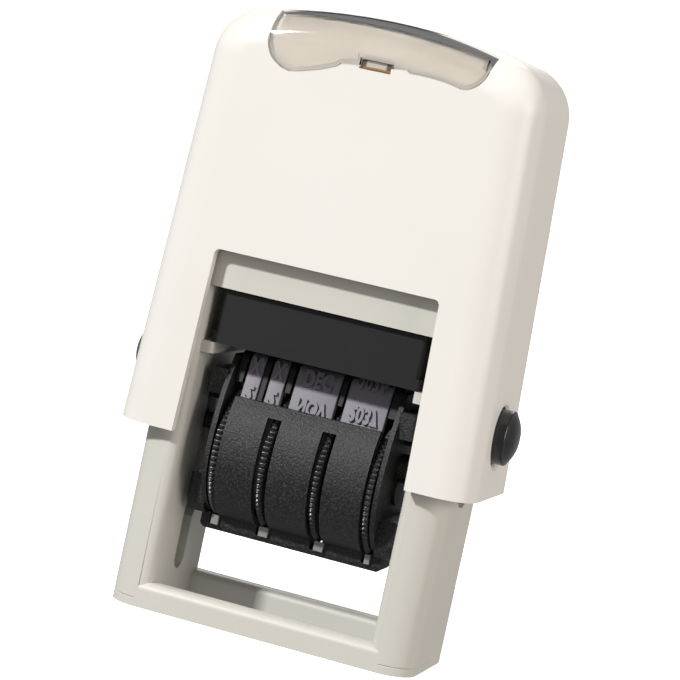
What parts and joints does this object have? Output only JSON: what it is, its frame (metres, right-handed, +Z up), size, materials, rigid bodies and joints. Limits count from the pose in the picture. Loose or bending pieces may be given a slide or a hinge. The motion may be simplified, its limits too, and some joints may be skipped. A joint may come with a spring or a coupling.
{
  "type": "self-inking date stamp",
  "caption": "Upright self-inking date stamp: a sprung cap over an open frame, with an ink pad, date bands on thumbwheels and a flip-over print carriage.",
  "frame": {"origin": "on the table, under the middle of the machine", "axes": "X to the user's right, -Y towards the user (the side with the index window), Z up"},
  "size_m": [0.05, 0.0228, 0.077],
  "materials": {
    "cream_plastic": "satin moulded ABS, warm cream",
    "frame_plastic": "satin moulded ABS, cool off-white",
    "clear_plastic": "polished clear acrylic",
    "card": "uncoated index card, blank",
    "black_gloss": "polished black moulding",
    "black_plastic": "spark-textured black moulding",
    "grey_plastic": "grey acetal, springy",
    "wheel_plastic": "black moulding with fine knurl",
    "band_rubber": "moulded grey rubber, slightly lavender",
    "ink_felt": "felt soaked with black ink",
    "spring_steel": "bright drawn wire"
  },
  "bodies": {
    "frame": {"base_frame": "frame_plastic", "sole_plate_right": "frame_plastic", "sole_plate_left": "frame_plastic"},
    "cap": {"cap_shell": "cream_plastic", "index_card": "card", "window_seal": "black_plastic", "carriage_yoke": "black_plastic", "return_spring": "spring_steel"},
    "window": {"index_window": "clear_plastic"},
    "button_right": {"lock_button_right": "black_gloss"},
    "button_left": {"lock_button_left": "black_gloss"},
    "pad": {"pad_tray": "black_plastic", "ink_felt": "ink_felt"},
    "carriage": {"carriage_cheek_right": "black_plastic", "carriage_cheek_left": "black_plastic", "print_anvil": "black_plastic", "wheel_axle": "black_plastic", "band_cover": "black_plastic", "detent_comb": "grey_plastic", "day_tens_band": "band_rubber", "day_units_band": "band_rubber", "month_band": "band_rubber", "year_band": "band_rubber"},
    "day_tens": {"day_tens_wheel": "wheel_plastic"},
    "day_units": {"day_units_wheel": "wheel_plastic"},
    "month": {"month_wheel": "wheel_plastic"},
    "year": {"year_wheel": "wheel_plastic"}
  },
  "joints": [
    {"name": "cap_press", "type": "slide", "parent": "frame", "child": "cap", "axis": [0, 0, -1], "range_m": [0, 0.0221], "stiffness_N_per_m": 600, "springref_m": -0.008, "deforming": ["return_spring"]},
    {"name": "carriage_flip", "type": "hinge", "parent": "cap", "child": "carriage", "pos_m": [0, 0, 0.0279], "axis": [1, 0, 0], "range_deg": [0, 180]},
    {"name": "ink_pad_slide", "type": "slide", "parent": "frame", "child": "pad", "axis": [0, -1, 0], "range_m": [0, 0.026]},
    {"name": "window_pull", "type": "slide", "parent": "cap", "child": "window", "axis": [0, -1, 0], "range_m": [0, 0.01]},
    {"name": "lock_right", "type": "slide", "parent": "cap", "child": "button_right", "axis": [-1, 0, 0], "range_m": [0, 0.0007], "stiffness_N_per_m": 400},
    {"name": "lock_left", "type": "slide", "parent": "cap", "child": "button_left", "axis": [1, 0, 0], "range_m": [0, 0.0007], "stiffness_N_per_m": 400},
    {"name": "day_tens_turn", "type": "hinge", "parent": "carriage", "child": "day_tens", "pos_m": [0, 0, 0.0206], "axis": [1, 0, 0], "continuous": true},
    {"name": "day_units_turn", "type": "hinge", "parent": "carriage", "child": "day_units", "pos_m": [0, 0, 0.0206], "axis": [1, 0, 0], "continuous": true},
    {"name": "month_turn", "type": "hinge", "parent": "carriage", "child": "month", "pos_m": [0, 0, 0.0206], "axis": [1, 0, 0], "continuous": true},
    {"name": "year_turn", "type": "hinge", "parent": "carriage", "child": "year", "pos_m": [0, 0, 0.0206], "axis": [1, 0, 0], "continuous": true}
  ],
  "couplings": [
    {"joint": "carriage_flip", "follows": "cap_press", "rad_per_m": 142.14}
  ]
}
